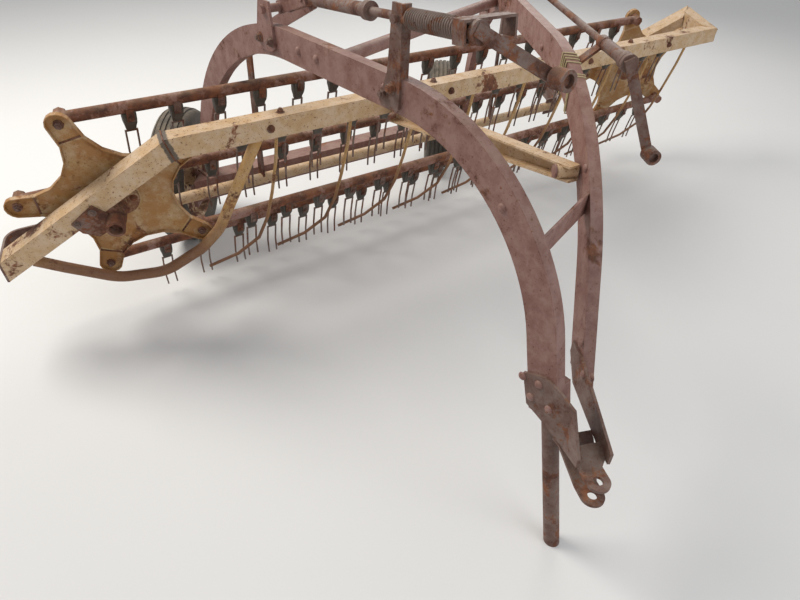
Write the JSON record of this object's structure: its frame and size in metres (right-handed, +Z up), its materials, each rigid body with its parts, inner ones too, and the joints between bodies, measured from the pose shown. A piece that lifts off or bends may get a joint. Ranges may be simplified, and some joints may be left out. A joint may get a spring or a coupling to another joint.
{
  "type": "side delivery rake",
  "caption": "Towed side delivery hay rake with an oblique reel of tooth bars in a tubular basket, hung from two arched beams, parked on its stand and wheels.",
  "frame": {"origin": "on the ground under the middle of the parked rake", "axes": "-Y is the way the rake travels, +X is its left-hand side, +Z is up"},
  "size_m": [3.255, 3.19, 1.3994],
  "materials": {
    "bar_paint": "rusty red-brown",
    "bare_steel": "weathered steel",
    "basket_paint": "faded cream-yellow paint with rust",
    "bearing_iron": "rusty castings",
    "frame_paint": "faded oxide-red paint over rust",
    "mount_rubber": "weathered black rubber",
    "reel_paint": "tan paint worn to rust",
    "rim_paint": "faded paint",
    "rod_steel": "weathered steel rod",
    "spring_steel": "rusty spring steel",
    "tine_steel": "dull spring steel",
    "tyre_rubber": "dusty black rubber"
  },
  "bodies": {
    "frame": {"arch_strap": "frame_paint", "cross_tube": "frame_paint", "left_arch_beam": "frame_paint", "left_axle": "frame_paint", "left_bell_crank": "frame_paint", "left_crank_bracket": "frame_paint", "left_hand_crank": "rod_steel", "left_hitch_plate": "bare_steel", "left_lift_rod": "rod_steel", "left_rod_bracket": "rod_steel", "lift_spring": "spring_steel", "lower_hitch_ear": "bare_steel", "rear_beam": "frame_paint", "right_arch_beam": "frame_paint", "right_axle": "frame_paint", "right_bell_crank": "frame_paint", "right_crank_bracket": "frame_paint", "right_hand_crank": "rod_steel", "right_hitch_plate": "bare_steel", "right_lift_rod": "rod_steel", "right_rod_bracket": "rod_steel", "rod_stirrup": "rod_steel", "stand_sleeve": "frame_paint", "upper_hitch_ear": "bare_steel"},
    "stand": {"parking_stand": "bare_steel"},
    "right_wheel": {"right_tyre": "tyre_rubber", "right_wheel_rim": "rim_paint"},
    "left_wheel": {"left_tyre": "tyre_rubber", "left_wheel_rim": "rim_paint"},
    "basket": {"front_rail": "basket_paint", "near_end_tube": "basket_paint", "far_end_frame": "basket_paint", "near_end_strap": "bare_steel", "far_end_strap": "bare_steel", "rear_rail": "basket_paint", "near_bearing": "bearing_iron", "far_bearing": "bearing_iron", "near_guard": "basket_paint", "stripper_rods": "basket_paint", "draft_arm": "basket_paint", "lift_hangers": "rod_steel"},
    "near_reel": {"near_spider": "reel_paint"},
    "far_reel": {"far_spider": "reel_paint"},
    "bar_1": {"tooth_bar_1": "bar_paint", "rubber_mounts_1": "mount_rubber", "tines_1": "tine_steel"},
    "bar_2": {"tooth_bar_2": "bar_paint", "rubber_mounts_2": "mount_rubber", "tines_2": "tine_steel"},
    "bar_3": {"tooth_bar_3": "bar_paint", "rubber_mounts_3": "mount_rubber", "tines_3": "tine_steel"},
    "bar_4": {"tooth_bar_4": "bar_paint", "rubber_mounts_4": "mount_rubber", "tines_4": "tine_steel"},
    "bar_5": {"tooth_bar_5": "bar_paint", "rubber_mounts_5": "mount_rubber", "tines_5": "tine_steel"}
  },
  "joints": [
    {"name": "stand_slide", "type": "slide", "parent": "frame", "child": "stand", "axis": [-0.1683, 0.1831, 0.9686], "range_m": [0, 0.25]},
    {"name": "right_wheel_spin", "type": "hinge", "parent": "frame", "child": "right_wheel", "pos_m": [-1.21976, 0.1862, 0.32], "axis": [1, 0, 0], "continuous": true},
    {"name": "left_wheel_spin", "type": "hinge", "parent": "frame", "child": "left_wheel", "pos_m": [0.03757, 1.14751, 0.32], "axis": [1, 0, 0], "continuous": true},
    {"name": "basket_lift", "type": "hinge", "parent": "frame", "child": "basket", "pos_m": [0.31799, -0.88154, 0.95], "axis": [0.9945, 0.1045, 0], "range_deg": [0, 3]},
    {"name": "reel_spin", "type": "hinge", "parent": "basket", "child": "near_reel", "pos_m": [-1.19576, -0.54504, 0.592], "axis": [0.294, -0.9383, -0.1822], "continuous": true},
    {"name": "far_reel_spin", "type": "hinge", "parent": "basket", "child": "far_reel", "pos_m": [1.18437, 1.34985, 0.60377], "axis": [0.294, -0.9383, -0.1822], "continuous": true},
    {"name": "bar_1_turn", "type": "hinge", "parent": "near_reel", "child": "bar_1", "pos_m": [-1.27781, -0.63077, 0.901], "axis": [0.294, -0.9383, -0.1822], "continuous": true},
    {"name": "bar_2_turn", "type": "hinge", "parent": "near_reel", "child": "bar_2", "pos_m": [-1.51171, -0.64372, 0.5903], "axis": [0.294, -0.9383, -0.1822], "continuous": true},
    {"name": "bar_3_turn", "type": "hinge", "parent": "near_reel", "child": "bar_3", "pos_m": [-1.30898, -0.5203, 0.28195], "axis": [0.294, -0.9383, -0.1822], "continuous": true},
    {"name": "bar_4_turn", "type": "hinge", "parent": "near_reel", "child": "bar_4", "pos_m": [-0.94979, -0.43107, 0.40208], "axis": [0.294, -0.9383, -0.1822], "continuous": true},
    {"name": "bar_5_turn", "type": "hinge", "parent": "near_reel", "child": "bar_5", "pos_m": [-0.93053, -0.49934, 0.78468], "axis": [0.294, -0.9383, -0.1822], "continuous": true}
  ],
  "couplings": [
    {"joint": "far_reel_spin", "follows": "reel_spin", "ratio": 1},
    {"joint": "bar_1_turn", "follows": "reel_spin", "ratio": -1},
    {"joint": "bar_2_turn", "follows": "reel_spin", "ratio": -1},
    {"joint": "bar_3_turn", "follows": "reel_spin", "ratio": -1},
    {"joint": "bar_4_turn", "follows": "reel_spin", "ratio": -1},
    {"joint": "bar_5_turn", "follows": "reel_spin", "ratio": -1}
  ]
}
